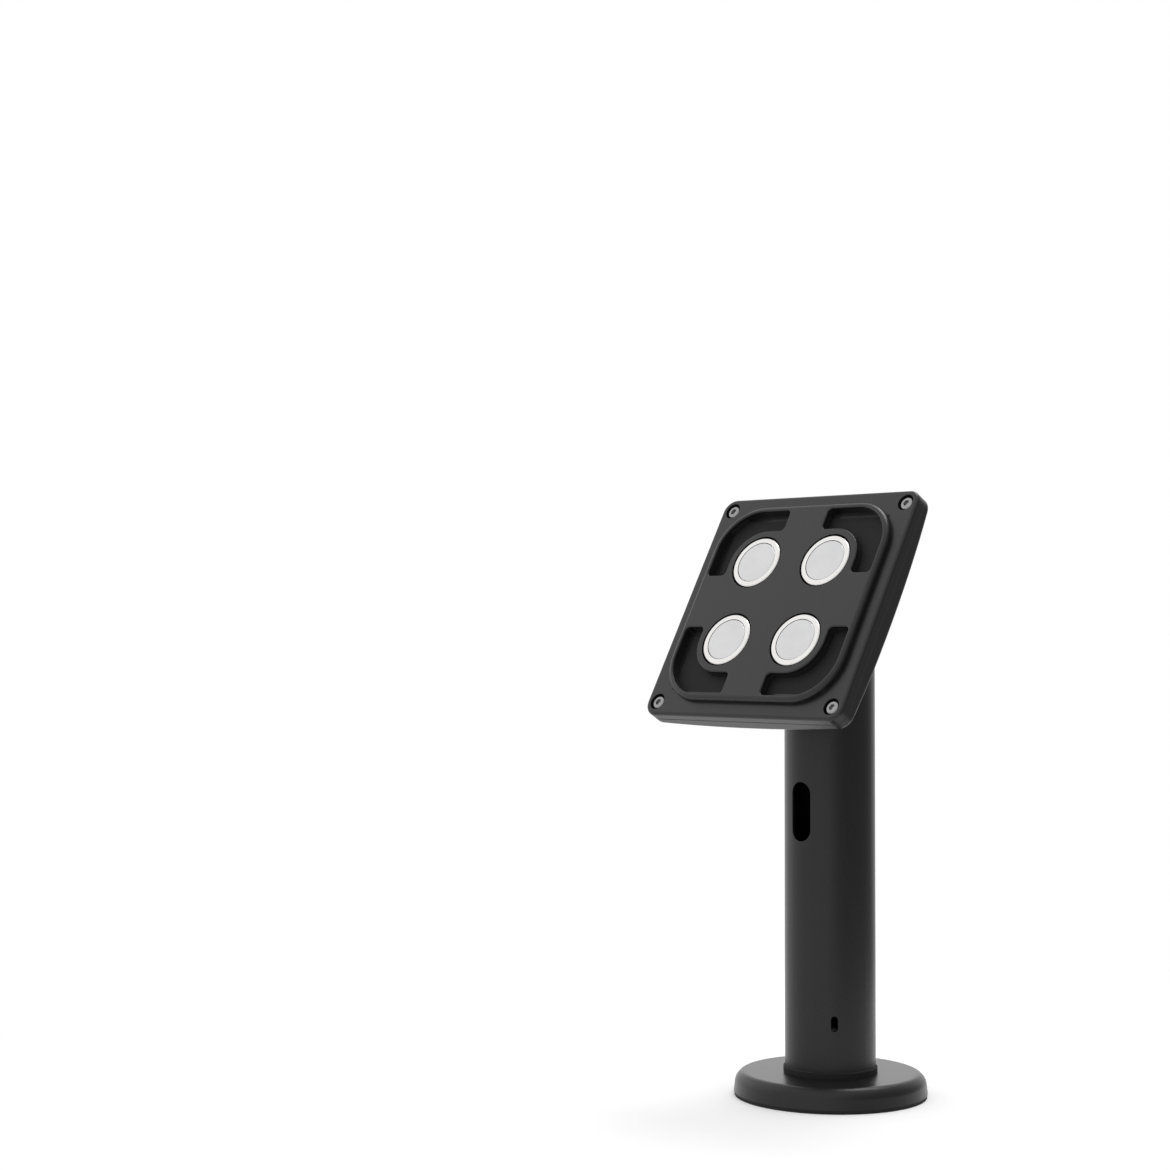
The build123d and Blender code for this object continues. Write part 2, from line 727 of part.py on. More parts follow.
with BuildPart() as rear_housing:
    add(domed(shell_back, head_side, head_corner))
    fillet(rear_housing.edges().filter_by(GeomType.BSPLINE), shell_edge_round)
    chamfer(level_edges(rear_housing.edges(), shell_split, head_side), split_bevel)
    add(rear_cavity.part, mode=Mode.SUBTRACT)
    with BuildSketch(at(shell_inside)):
        with PolarLocations(plate_screw_circle_radius, 4):
            Circle(plate_post_radius)
    extrude(amount=magnet_plate_back - shell_inside)
    with BuildSketch(at(magnet_plate_back)):
        with PolarLocations(plate_screw_circle_radius, 4):
            Circle(plate_screw_radius + seat_gap)
    extrude(amount=-plate_screw_depth - seat_gap, mode=Mode.SUBTRACT)
    with BuildSketch(at(screw_tip - seat_gap)):
        with GridLocations(corner_screw_side, corner_screw_side, 2, 2):
            Circle(bezel_screw_radius + seat_gap)
    extrude(amount=bezel_screw_grip + seat_gap, mode=Mode.SUBTRACT)
    with BuildSketch(at(shell_back)):
        Circle(turn_bush_radius + seat_gap)
        with BuildLine():
            pin_path = CenterArc((0, 0), stop_pin_circle_radius, 90 - turn_angle, 2 * turn_angle)
        SlotArc(pin_path, 2 * (stop_pin_radius + moving_gap))
    extrude(amount=shell_wall, mode=Mode.SUBTRACT)
rear_housing.part.label = "rear_housing"
export_step(rear_housing.part, "parts/rear_housing.step")

# Magnet plate: steel plate on four posts, clear of the nut in the middle.
with BuildPart() as magnet_plate:
    with BuildSketch(at(magnet_plate_back)):
        RectangleRounded(magnet_plate_side, magnet_plate_side, magnet_plate_corner)
        Circle(magnet_plate_hole_radius, mode=Mode.SUBTRACT)
        with GridLocations(magnet_grid_width, magnet_grid_width, 2, 2):
            Circle(magnet_screw_radius + seat_gap, mode=Mode.SUBTRACT)
        with PolarLocations(plate_screw_circle_radius, 4):
            Circle(plate_screw_radius + seat_gap, mode=Mode.SUBTRACT)
    extrude(amount=magnet_plate_thickness)
magnet_plate.part.label = "magnet_plate"
export_step(magnet_plate.part, "parts/magnet_plate.step")

# Screws that hold the magnet plate on its posts.
plate_screw = head_screw(
    plate_screw_head_radius, plate_screw_head_height, plate_screw_head_height / 2,
    plate_screw_radius, magnet_plate_thickness + plate_screw_depth,
)
with BuildPart() as magnet_plate_screws:
    with Locations(at(magnet_plate_front)):
        with PolarLocations(plate_screw_circle_radius, 4):
            add(plate_screw)
magnet_plate_screws.part.label = "magnet_plate_screws"
export_step(magnet_plate_screws.part, "parts/magnet_plate_screws.step")

# Magnets: four steel cups, bevelled at the rim, each with a round core flush with its rim.
core_seat = magnet_height - core_height
cup = turned([
    (magnet_screw_radius + seat_gap, 0),
    (magnet_radius, 0),
    (magnet_radius, magnet_height - magnet_edge_bevel),
    (magnet_radius - magnet_edge_bevel, magnet_height),
    (core_radius + core_gap, magnet_height),
    (core_radius + core_gap, core_seat),
    (magnet_screw_radius + seat_gap, core_seat),
])
core = turned([
    (0, core_seat),
    (core_radius, core_seat),
    (core_radius, magnet_height - core_gap),
    (core_radius - core_gap, magnet_height),
    (0, magnet_height),
])
with BuildPart() as magnet_cups:
    with Locations(at(magnet_plate_front)):
        with GridLocations(magnet_grid_width, magnet_grid_width, 2, 2):
            add(cup)
magnet_cups.part.label = "magnet_cups"
export_step(magnet_cups.part, "parts/magnet_cups.step")

with BuildPart() as magnet_cores:
    with Locations(at(magnet_plate_front)):
        with GridLocations(magnet_grid_width, magnet_grid_width, 2, 2):
            add(core)
magnet_cores.part.label = "magnet_cores"
export_step(magnet_cores.part, "parts/magnet_cores.step")

# Screws from behind the plate into the cups.
magnet_screw = head_screw(
    magnet_screw_head_radius, magnet_screw_head_height, magnet_screw_head_height / 2,
    magnet_screw_radius, magnet_plate_thickness + core_seat - magnet_screw_tip_gap,
)
behind_plate = Plane(at(magnet_plate_back).origin, x_dir=(1, 0, 0), z_dir=-head_plane.z_dir)
with BuildPart() as magnet_screws:
    with Locations(behind_plate):
        with GridLocations(magnet_grid_width, magnet_grid_width, 2, 2):
            add(magnet_screw)
magnet_screws.part.label = "magnet_screws"
export_step(magnet_screws.part, "parts/magnet_screws.step")

# Outline of the catch pockets: a ring channel round the magnets, parted by four bars.
with BuildSketch() as pockets:
    RectangleRounded(pocket_outer_side, pocket_outer_side, pocket_outer_corner)
    RectangleRounded(pocket_inner_side, pocket_inner_side, pocket_inner_corner, mode=Mode.SUBTRACT)
    Rectangle(pocket_end_bar, head_side, mode=Mode.SUBTRACT)
    Rectangle(head_side, pocket_side_bar, mode=Mode.SUBTRACT)
    bar_corners = ShapeList()
    for corner in pockets.vertices():
        beside_end_bar = abs(abs(corner.X) - pocket_end_bar / 2) < seat_gap
        beside_side_bar = abs(abs(corner.Y) - pocket_side_bar / 2) < seat_gap
        if beside_end_bar or beside_side_bar:
            bar_corners.append(corner)
    fillet(bar_corners, pocket_end_round)
with BuildSketch() as pocket_walls:
    add(pockets.sketch)
    offset(amount=pocket_wall)

# Front shell: the flat border, the raised face, its pockets, magnet holes and screw wells.
pocket_back = reach - pocket_depth - pocket_floor
with BuildPart() as front_bezel:
    with BuildSketch(at(shell_split)):
        RectangleRounded(head_side, head_side, head_corner)
    extrude(amount=bezel_flange_front - shell_split)
    fillet(level_edges(front_bezel.edges(), bezel_flange_front, head_side), bezel_edge_round)
    chamfer(level_edges(front_bezel.edges(), shell_split, head_side), split_bevel)
    with BuildSketch(at(bezel_flange_front)):
        RectangleRounded(face_side, face_side, face_corner)
    extrude(amount=flange_face_depth)
    fillet(level_edges(front_bezel.edges(), reach, head_side), face_edge_round)
    with BuildSketch(at(shell_split)):
        RectangleRounded(cavity_side, cavity_side, cavity_corner)
    extrude(amount=bezel_flange_front - bezel_wall - shell_split, mode=Mode.SUBTRACT)
    with BuildSketch(at(bezel_flange_front - bezel_wall)):
        RectangleRounded(face_side - 2 * bezel_wall, face_side - 2 * bezel_wall, face_corner - bezel_wall)
    extrude(amount=flange_face_depth, mode=Mode.SUBTRACT)
    with BuildSketch(at(pocket_back)):
        add(pocket_walls.sketch)
    extrude(amount=reach - bezel_wall - pocket_back)
    with BuildSketch(at(shell_split)):
        with GridLocations(corner_screw_side, corner_screw_side, 2, 2):
            Circle(screw_well_radius + screw_well_wall)
    extrude(amount=bezel_flange_front - bezel_wall - shell_split)
    with BuildSketch(at(reach)):
        add(pockets.sketch)
    extrude(amount=-pocket_depth, mode=Mode.SUBTRACT)
    fillet(level_edges(front_bezel.edges(Select.LAST), reach, head_side), pocket_rim_round)
    with BuildSketch(at(reach)):
        with GridLocations(magnet_grid_width, magnet_grid_width, 2, 2):
            Circle(magnet_hole_radius)
    extrude(amount=-bezel_wall - overrun, mode=Mode.SUBTRACT)
    with BuildSketch(at(screw_well_floor)):
        with GridLocations(corner_screw_side, corner_screw_side, 2, 2):
            Circle(screw_well_radius)
    extrude(amount=screw_well_depth + overrun, mode=Mode.SUBTRACT)
    with BuildSketch(at(shell_split)):
        with GridLocations(corner_screw_side, corner_screw_side, 2, 2):
            Circle(bezel_screw_radius + seat_gap)
    extrude(amount=screw_well_floor - shell_split, mode=Mode.SUBTRACT)
front_bezel.part.label = "front_bezel"
export_step(front_bezel.part, "parts/front_bezel.step")

# Screws in the corner wells: through the front shell into the posts of the back shell.
bezel_screw = head_screw(
    bezel_screw_head_radius, bezel_screw_head_height, bezel_screw_head_round,
    bezel_screw_radius, screw_well_floor - screw_tip,
)
with BuildPart() as bezel_screws:
    with Locations(at(screw_well_floor)):
        with GridLocations(corner_screw_side, corner_screw_side, 2, 2):
            add(bezel_screw)
bezel_screws.part.label = "bezel_screws"
export_step(bezel_screws.part, "parts/bezel_screws.step")
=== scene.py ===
"""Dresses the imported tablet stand: its finishes, the floor, the light and the camera."""
import json
import math

import bpy
from bpy.props import FloatProperty, FloatVectorProperty, PointerProperty, StringProperty
from bpy.types import Operator, Panel, PropertyGroup
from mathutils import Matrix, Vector

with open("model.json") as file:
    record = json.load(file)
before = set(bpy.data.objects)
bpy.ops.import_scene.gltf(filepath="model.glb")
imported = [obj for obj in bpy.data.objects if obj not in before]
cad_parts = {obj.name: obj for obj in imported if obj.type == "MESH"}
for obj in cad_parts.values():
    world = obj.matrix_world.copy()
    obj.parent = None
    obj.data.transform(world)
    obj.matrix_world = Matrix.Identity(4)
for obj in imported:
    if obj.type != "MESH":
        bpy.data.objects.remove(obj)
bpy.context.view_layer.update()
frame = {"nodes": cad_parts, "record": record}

bl_info = {
    "name": "Tablet counter stand",
    "version": (1, 0, 0),
    "blender": (4, 5, 0),
    "location": "View3D > Sidebar > Stand",
    "description": "Finishes, floor, light and camera for a magnetic tablet counter stand",
    "category": "Object",
}

MM = 0.001
SENSOR = 36.0
PHOTO_SIDE = 1170
# The way from the stand to the unlit side of the studio.
UNLIT_SIDE = (0.88, 0.42, -0.2)

# The head's face as it was packed: its middle, and the ways right, up and out of it.
FACE = next(mount for mount in frame["record"]["mounts"] if mount["name"] == "magnet_face")
FACE_CENTRE = Vector(FACE["pos_m"])
FACE_OUT = Vector(FACE["axis"])
FACE_RIGHT = Vector((1, 0, 0))
FACE_UP = FACE_OUT.cross(FACE_RIGHT)


class StandFinishes(PropertyGroup):
    """Colours and sizes of the stand's finishes; colours are sRGB hex values."""

    coat: StringProperty(
        name="Powder coat", description="Black powder coat of the pole and the foot", default="#1a1a1b")
    casting: StringProperty(
        name="Painted casting", description="Black paint of the hinge castings", default="#1b1b1c")
    shell: StringProperty(
        name="Moulded shells", description="Black plastic of the head", default="#171718")
    rubber: StringProperty(
        name="Rubber", description="Pad under the foot and ring round the pole", default="#141414")
    oxide: StringProperty(
        name="Black oxide", description="Screws in the pole", default="#2b2a2b")
    zinc: StringProperty(
        name="Zinc plate", description="Plates, nuts and inner screws", default="#b9bcc0")
    steel: StringProperty(
        name="Stainless steel", description="Corner screws of the head", default="#8f8f90")
    spring: StringProperty(
        name="Spring steel", description="Disc springs", default="#8d8b88")
    aluminium: StringProperty(
        name="Turned aluminium", description="Plug in the pole's foot", default="#c4c5c7")
    nylon: StringProperty(
        name="Nylon", description="Friction washers and the turn bush", default="#d9d5c8")
    bronze: StringProperty(
        name="Sintered bronze", description="Bushes of the hinge", default="#a5773f")
    cup: StringProperty(
        name="Bright nickel", description="Cups of the magnets", default="#d8d7d5")
    core: StringProperty(
        name="Satin nickel", description="Cores of the magnets", default="#cbcbcc")
    # The pocket reach, skin and floor bound where the shells get the coarse rough skin of the pockets and the
    # painted shade that darkens them.
    pocket_reach: FloatProperty(
        name="Pocket reach", description="Half the side of the square that holds the catch pockets",
        default=55.5 * MM, unit="LENGTH")
    pocket_skin: FloatProperty(
        name="Pocket skin", description="How far below the face the coarse skin of the pockets starts",
        default=1.4 * MM, unit="LENGTH")
    pocket_floor: FloatProperty(
        name="Pocket floor", description="Just below the pocket floors: nothing deeper has their skin",
        default=6.2 * MM, unit="LENGTH")
    magnet_pitch: FloatProperty(
        name="Magnet pitch", description="From the centre of one magnet to the next",
        default=50.0 * MM, unit="LENGTH")


class StandStage(PropertyGroup):
    """The camera, the floor and the lamps."""

    focal_pixels: FloatProperty(
        name="Focal length", description="Focal length in pixels of the photograph's frame", default=2262.6)
    camera_distance: FloatProperty(
        name="Distance", description="Camera to the pole's axis", default=1.2847, unit="LENGTH")
    camera_height: FloatProperty(
        name="Height", description="Camera above the counter", default=0.2593, unit="LENGTH")
    camera_side: FloatProperty(
        name="Side", description="How far the camera stands round to the right of the front",
        default=math.radians(39.84), subtype="ANGLE")
    camera_turn: FloatProperty(
        name="Turn", description="How far the camera looks to the left of the pole",
        default=math.radians(6.163), subtype="ANGLE")
    camera_pitch: FloatProperty(
        name="Pitch", description="How far the camera looks up", default=math.radians(1.214), subtype="ANGLE")
    aim: FloatVectorProperty(
        name="Aim", description="The point that the lamps face", default=(0, 0, 0.15), subtype="XYZ")
    key_place: FloatVectorProperty(
        name="Key lamp place", description="Where the key lamp hangs", default=(-2.0, -0.7, 1.5),
        subtype="XYZ")
    key_size: FloatProperty(
        name="Key lamp size", description="Side of the large soft lamp", default=2.2, unit="LENGTH")
    key_power: FloatProperty(
        name="Key lamp", description="Large soft lamp at the upper left", default=4.0, unit="POWER")
    top_place: FloatVectorProperty(
        name="Top lamp place", description="Where the top lamp hangs", default=(-0.08, 0.56, 1.65),
        subtype="XYZ")
    top_size: FloatProperty(
        name="Top lamp size", description="Side of the soft lamp overhead", default=0.8, unit="LENGTH")
    top_power: FloatProperty(
        name="Top lamp", description="Soft lamp overhead, a little behind the stand", default=8.5,
        unit="POWER")
    back_place: FloatVectorProperty(
        name="Back lamp place", description="Where the back lamp hangs", default=(-1.05, 1.2, 0.6),
        subtype="XYZ")
    back_size: FloatProperty(
        name="Back lamp size", description="Side of the lamp behind", default=1.0, unit="LENGTH")
    back_power: FloatProperty(
        name="Back lamp", description="Soft lamp behind the stand, for its upper edges", default=1.0,
        unit="POWER")
    room_light: FloatProperty(
        name="Room light", description="Even light from all round", default=0.8)
    dark_side: FloatProperty(
        name="Dark side", description="How bright the unlit right side of the studio looks in reflections",
        default=0.3)
    floor_size: FloatProperty(
        name="Floor", description="Side of the square floor", default=6.0, unit="LENGTH")
    floor_colour: StringProperty(
        name="Floor colour", description="Pale matt floor", default="#ededed")
    floor_lift: FloatProperty(
        name="Floor lift", description="How much of white the floor adds to itself", default=0.2)
    shadow_reach: FloatProperty(
        name="Shadow reach", description="Beyond this distance the floor is plain background",
        default=0.55, unit="LENGTH")


def linear(hex_colour, factor=1.0):
    """An sRGB hex colour as the linear colour that a shader reads, lighter or darker by a factor."""
    shares = [int(hex_colour[start:start + 2], 16) / 255 for start in (1, 3, 5)]
    return (*[factor * (s / 12.92 if s <= 0.04045 else ((s + 0.055) / 1.055) ** 2.4) for s in shares], 1)


def per(size_mm):
    """The scale of a pattern on object coordinates whose features are so many millimetres."""
    return 1 / (size_mm * MM)


def add_node(tree, kind, inputs=None, **settings):
    """Adds a node, gives it its settings, and sets or links each input by name or number."""
    node = tree.nodes.new(kind)
    for name, value in settings.items():
        setattr(node, name, value)
    for name, value in (inputs or {}).items():
        if isinstance(value, bpy.types.NodeSocket):
            tree.links.new(value, node.inputs[name])
        else:
            node.inputs[name].default_value = value
    return node


def new_finish(name):
    """A new empty node material and its object coordinates."""
    material = bpy.data.materials.new(name)
    material.use_nodes = True
    tree = material.node_tree
    tree.nodes.clear()
    return material, tree, add_node(tree, "ShaderNodeTexCoord").outputs["Object"]


def close_finish(tree, inputs):
    """Ends a material with its surface."""
    surface = add_node(tree, "ShaderNodeBsdfPrincipled", inputs)
    add_node(tree, "ShaderNodeOutputMaterial", {"Surface": surface.outputs["BSDF"]})


def uneven(tree, where, size_mm, low, high, detail=2.0):
    """A value that wanders between two others in patches of that size."""
    pattern = add_node(tree, "ShaderNodeTexNoise", {"Vector": where, "Scale": per(size_mm), "Detail": detail})
    return add_node(tree, "ShaderNodeMapRange", {
        "Value": pattern.outputs["Fac"],
        "From Min": 0.3, "From Max": 0.7, "To Min": low, "To Max": high}).outputs["Result"]


def clouded(tree, where, colour, size_mm, dark, light):
    """A colour that drifts between a darker and a lighter shade of itself."""
    return add_node(tree, "ShaderNodeMix", {
        0: uneven(tree, where, size_mm, 0.0, 1.0), 6: linear(colour, dark), 7: linear(colour, light)},
        data_type="RGBA").outputs[2]


def embossed(tree, where, size_mm, depth_mm, detail=2.0, under=None):
    """A normal raised in grains of that size and depth, over another relief if one is given."""
    pattern = add_node(tree, "ShaderNodeTexNoise", {"Vector": where, "Scale": per(size_mm), "Detail": detail})
    inputs = {"Height": pattern.outputs["Fac"], "Distance": depth_mm * MM}
    if under:
        inputs["Normal"] = under
    return add_node(tree, "ShaderNodeBump", inputs).outputs["Normal"]


def from_face(tree, where):
    """How far a point lies right, up and out from the middle of the head's face."""
    offset = add_node(tree, "ShaderNodeVectorMath", {0: where, 1: FACE_CENTRE}, operation="SUBTRACT")
    return [
        add_node(tree, "ShaderNodeVectorMath", {0: offset.outputs[0], 1: way}, operation="DOT_PRODUCT")
        .outputs["Value"]
        for way in (FACE_RIGHT, FACE_UP, FACE_OUT)
    ]


def combined(tree, operation, first, second):
    """Two values joined by a sum, a product or the like."""
    return add_node(tree, "ShaderNodeMath", {0: first, 1: second}, operation=operation).outputs[0]


def black_powder_coat(colour):
    """Polyester powder baked on steel: satin, with the faint orange peel of melted powder."""
    material, tree, where = new_finish("black_powder_coat")
    close_finish(tree, {
        "Base Color": clouded(tree, where, colour, size_mm=45.0, dark=0.92, light=1.08),
        "Roughness": uneven(tree, where, size_mm=0.5, low=0.27, high=0.34),
        "IOR": 1.5,
        "Specular IOR Level": 0.34,
        "Normal": embossed(
            tree, where, size_mm=2.2, depth_mm=0.012, detail=1.0,
            under=embossed(tree, where, size_mm=0.5, depth_mm=0.004)),
    })
    return material


def painted_casting(colour):
    """Satin paint over a die casting: the sand-like skin of the casting shows through."""
    material, tree, where = new_finish("painted_die_casting")
    close_finish(tree, {
        "Base Color": clouded(tree, where, colour, size_mm=20.0, dark=0.9, light=1.12),
        "Roughness": uneven(tree, where, size_mm=1.1, low=0.46, high=0.60, detail=3.0),
        "IOR": 1.5,
        "Specular IOR Level": 0.4,
        "Normal": embossed(tree, where, size_mm=1.1, depth_mm=0.03, detail=3.0),
    })
    return material


def in_pockets(tree, where, reach, skin, floor):
    """One on the floors and walls of the catch pockets, and zero on the face, border and back."""
    right, up, out = from_face(tree, where)
    across = combined(tree, "ABSOLUTE", right, 0.0)
    along = combined(tree, "ABSOLUTE", up, 0.0)
    inside = combined(tree, "LESS_THAN", combined(tree, "MAXIMUM", across, along), reach)
    below = add_node(tree, "ShaderNodeMapRange", {
        "Value": out, "From Min": -2 * skin, "From Max": -skin,
        "To Min": 1.0, "To Max": 0.0}).outputs["Result"]
    above_floor = combined(tree, "GREATER_THAN", out, -floor)
    return combined(tree, "MULTIPLY", combined(tree, "MULTIPLY", inside, below), above_floor)


def shell_plastic(colour, reach, skin, floor):
    """Moulded polycarbonate blend: a fine satin skin outside, a coarse dull one in the pockets, whose base
    colour is darkened there as painted shade.
    """
    material, tree, where = new_finish("moulded_black_plastic")
    # The real grain is about 0.1 mm: it is drawn at 0.6 mm so that it still shows.
    satin = uneven(tree, where, size_mm=0.6, low=0.30, high=0.38)
    pockets = in_pockets(tree, where, reach, skin, floor)
    # Painted shade: in the pockets the base colour drops to three quarters of the shell colour, standing in
    # for the shade inside these recesses; the added roughness is the real dull skin.
    painted_pocket_shade = 0.75
    pocket_dulling = 0.45
    outside = clouded(tree, where, colour, size_mm=30.0, dark=0.95, light=1.05)
    close_finish(tree, {
        "Base Color": add_node(tree, "ShaderNodeMix", {
            0: pockets, 6: outside, 7: linear(colour, painted_pocket_shade)}, data_type="RGBA").outputs[2],
        "Roughness": combined(tree, "ADD", satin, combined(tree, "MULTIPLY", pockets, pocket_dulling)),
        "IOR": 1.5,
        "Specular IOR Level": 0.44,
        "Normal": embossed(tree, where, size_mm=0.6, depth_mm=0.005),
    })
    return material


def rubber(colour):
    """Moulded black rubber: matt, with a soft bloom and the grain of the mould."""
    material, tree, where = new_finish("moulded_rubber")
    close_finish(tree, {
        "Base Color": clouded(tree, where, colour, size_mm=14.0, dark=0.9, light=1.25),
        "Roughness": uneven(tree, where, size_mm=0.8, low=0.66, high=0.82, detail=3.0),
        "IOR": 1.52,
        "Specular IOR Level": 0.35,
        "Normal": embossed(tree, where, size_mm=0.8, depth_mm=0.02, detail=3.0),
    })
    return material


def metal(name, colour, smooth, rough, grain_mm, depth_mm, stretch=None):
    """A bare or plated metal whose fine marks vary its gloss; stretch draws them out to lines."""
    material, tree, where = new_finish(name)
    marks = where
    if stretch:
        marks = add_node(tree, "ShaderNodeMapping", {"Vector": where, "Scale": stretch}).outputs["Vector"]
    close_finish(tree, {
        "Base Color": clouded(tree, where, colour, size_mm=7.0, dark=0.93, light=1.04),
        "Metallic": 1.0,
        "Roughness": uneven(tree, marks, grain_mm, smooth, rough, detail=3.0),
        "Normal": embossed(tree, marks, grain_mm, depth_mm, detail=3.0),
    })
    return material


def nickel(name, colour, smooth, rough, ring_mm, pitch):
    """Nickel on ground steel: faint rings from grinding run round the middle of each magnet."""
    material, tree, where = new_finish(name)
    right, up, out = from_face(tree, where)
    # The four magnets lie alike in the quarters of the face, so one quarter's rings serve all.
    across = combined(tree, "SUBTRACT", combined(tree, "ABSOLUTE", right, 0.0), pitch / 2)
    along = combined(tree, "SUBTRACT", combined(tree, "ABSOLUTE", up, 0.0), pitch / 2)
    spot = add_node(tree, "ShaderNodeCombineXYZ", {"X": across, "Y": along}).outputs["Vector"]
    radius = add_node(tree, "ShaderNodeVectorMath", {0: spot}, operation="LENGTH").outputs["Value"]
    # Grinding marks are far finer than this: they are drawn wide enough to show from close by.
    rings = combined(tree, "SINE", combined(tree, "MULTIPLY", radius, math.tau * per(ring_mm)), 0.0)
    ring_depth = 0.001 * MM
    ground = embossed(tree, where, size_mm=0.5, depth_mm=0.002)
    close_finish(tree, {
        "Base Color": clouded(tree, where, colour, size_mm=9.0, dark=0.97, light=1.02),
        "Metallic": 1.0,
        "Roughness": uneven(tree, where, size_mm=0.6, low=smooth, high=rough),
        "Normal": add_node(tree, "ShaderNodeBump", {
            "Height": rings, "Distance": ring_depth, "Normal": ground}).outputs["Normal"],
    })
    return material


def natural_nylon(colour):
    """Natural nylon: waxy and slightly translucent, cream rather than white."""
    material, tree, where = new_finish("natural_nylon")
    close_finish(tree, {
        "Base Color": clouded(tree, where, colour, size_mm=9.0, dark=0.95, light=1.03),
        "Roughness": uneven(tree, where, size_mm=0.9, low=0.34, high=0.46),
        "IOR": 1.53,
        "Subsurface Weight": 0.15,
        "Subsurface Scale": 1.5 * MM,
        "Normal": embossed(tree, where, size_mm=0.9, depth_mm=0.008),
    })
    return material


def sintered_bronze(colour):
    """Sintered bronze: pressed powder, matt with open pores that hold oil."""
    material, tree, where = new_finish("sintered_bronze")
    pore_mm = 0.35
    pore_depth = 0.02 * MM
    pores = add_node(tree, "ShaderNodeTexVoronoi", {
        "Vector": where, "Scale": per(pore_mm)}).outputs["Distance"]
    close_finish(tree, {
        "Base Color": clouded(tree, where, colour, size_mm=4.0, dark=0.85, light=1.1),
        "Metallic": 1.0,
        "Roughness": add_node(tree, "ShaderNodeMapRange", {
            "Value": pores, "To Min": 0.55, "To Max": 0.38}).outputs["Result"],
        "Normal": add_node(tree, "ShaderNodeBump", {
            "Height": pores, "Distance": pore_depth}).outputs["Normal"],
    })
    return material


def dress(material, *names):
    """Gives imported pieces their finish."""
    for name in names:
        piece = frame["nodes"][name]
        piece.data.materials.clear()
        piece.data.materials.append(material)


class STAND_OT_foot(Operator):
    """Finishes the foot: pad, plate, cover, ring and plug"""

    bl_idname = "stand.foot"
    bl_label = "Finish the foot"

    def execute(self, context):
        colours = context.scene.stand_finishes
        pad = rubber(colours.rubber)
        cover = black_powder_coat(colours.coat)
        plate = metal(
            "zinc_plated_plate", colours.zinc, smooth=0.30, rough=0.42, grain_mm=0.7, depth_mm=0.004)
        # Turning leaves marks that run round the plug, so they are drawn out in X and Y.
        plug = metal(
            "turned_aluminium", colours.aluminium, smooth=0.26, rough=0.38, grain_mm=0.6, depth_mm=0.006,
            stretch=(0.08, 0.08, 1.0))
        screws = metal(
            "zinc_plated_foot_screws", colours.zinc, smooth=0.24, rough=0.36, grain_mm=0.4, depth_mm=0.003)
        dress(pad, "base_pad", "foot_collar")
        dress(cover, "base_cover")
        dress(plate, "base_plate")
        dress(plug, "foot_plug")
        dress(screws, "foot_screws")
        return {"FINISHED"}


class STAND_OT_pole(Operator):
    """Finishes the pole and the black screws that hold it"""

    bl_idname = "stand.pole"
    bl_label = "Finish the pole"

    def execute(self, context):
        colours = context.scene.stand_finishes
        tube = black_powder_coat(colours.coat)
        screws = metal(
            "black_oxide_screws", colours.oxide, smooth=0.34, rough=0.46, grain_mm=0.5, depth_mm=0.004)
        dress(tube, "pole_tube")
        dress(screws, "foot_lock_screws", "yoke_screws")
        return {"FINISHED"}


class STAND_OT_hinge(Operator):
    """Finishes the tilting hinge: yoke, arm, pin, nut, springs, washers and bushes"""

    bl_idname = "stand.hinge"
    bl_label = "Finish the hinge"

    def execute(self, context):
        colours = context.scene.stand_finishes
        casting = painted_casting(colours.casting)
        pin = metal(
            "black_oxide_pin", colours.oxide, smooth=0.34, rough=0.46, grain_mm=0.5, depth_mm=0.004)
        nut = metal(
            "zinc_plated_nut", colours.zinc, smooth=0.24, rough=0.36, grain_mm=0.4, depth_mm=0.003)
        springs = metal(
            "plain_spring_steel", colours.spring, smooth=0.28, rough=0.40, grain_mm=0.5, depth_mm=0.004)
        dress(casting, "neck_yoke", "tilt_arm")
        dress(pin, "hinge_pin")
        dress(nut, "hinge_nut")
        dress(springs, "hinge_springs")
        dress(natural_nylon(colours.nylon), "hinge_washers")
        dress(sintered_bronze(colours.bronze), "knuckle_bushes")
        return {"FINISHED"}


class STAND_OT_turn(Operator):
    """Finishes the turning joint: disc, bush, stop pin, washer, spring and nut"""

    bl_idname = "stand.turn"
    bl_label = "Finish the turning joint"

    def execute(self, context):
        colours = context.scene.stand_finishes
        plated = metal(
            "zinc_plated_turn_parts", colours.zinc, smooth=0.24, rough=0.36, grain_mm=0.4, depth_mm=0.003)
        spring = metal(
            "turn_spring_steel", colours.spring, smooth=0.28, rough=0.40, grain_mm=0.5, depth_mm=0.004)
        dress(natural_nylon(colours.nylon), "turn_disc", "turn_bush")
        dress(plated, "turn_stop_pin", "turn_washer", "turn_nut")
        dress(spring, "turn_spring")
        return {"FINISHED"}


class STAND_OT_head(Operator):
    """Finishes the two shells of the head and the four screws in its corners"""

    bl_idname = "stand.head"
    bl_label = "Finish the head"

    def execute(self, context):
        colours = context.scene.stand_finishes
        shells = shell_plastic(
            colours.shell, colours.pocket_reach, colours.pocket_skin, colours.pocket_floor)
        screws = metal(
            "polished_stainless", colours.steel, smooth=0.16, rough=0.26, grain_mm=0.4, depth_mm=0.002)
        dress(shells, "rear_housing", "front_bezel")
        dress(screws, "bezel_screws")
        return {"FINISHED"}


class STAND_OT_magnets(Operator):
    """Finishes the magnets, the plate behind them and their screws"""

    bl_idname = "stand.magnets"
    bl_label = "Finish the magnets"

    def execute(self, context):
        colours = context.scene.stand_finishes
        pitch = colours.magnet_pitch
        cups = nickel("bright_nickel", colours.cup, smooth=0.24, rough=0.32, ring_mm=0.9, pitch=pitch)
        cores = nickel("satin_nickel", colours.core, smooth=0.36, rough=0.46, ring_mm=1.1, pitch=pitch)
        inner = metal(
            "zinc_plated_inner_parts", colours.zinc, smooth=0.28, rough=0.40, grain_mm=0.6, depth_mm=0.004)
        dress(cups, "magnet_cups")
        dress(cores, "magnet_cores")
        dress(inner, "magnet_plate", "magnet_screws", "magnet_plate_screws")
        return {"FINISHED"}


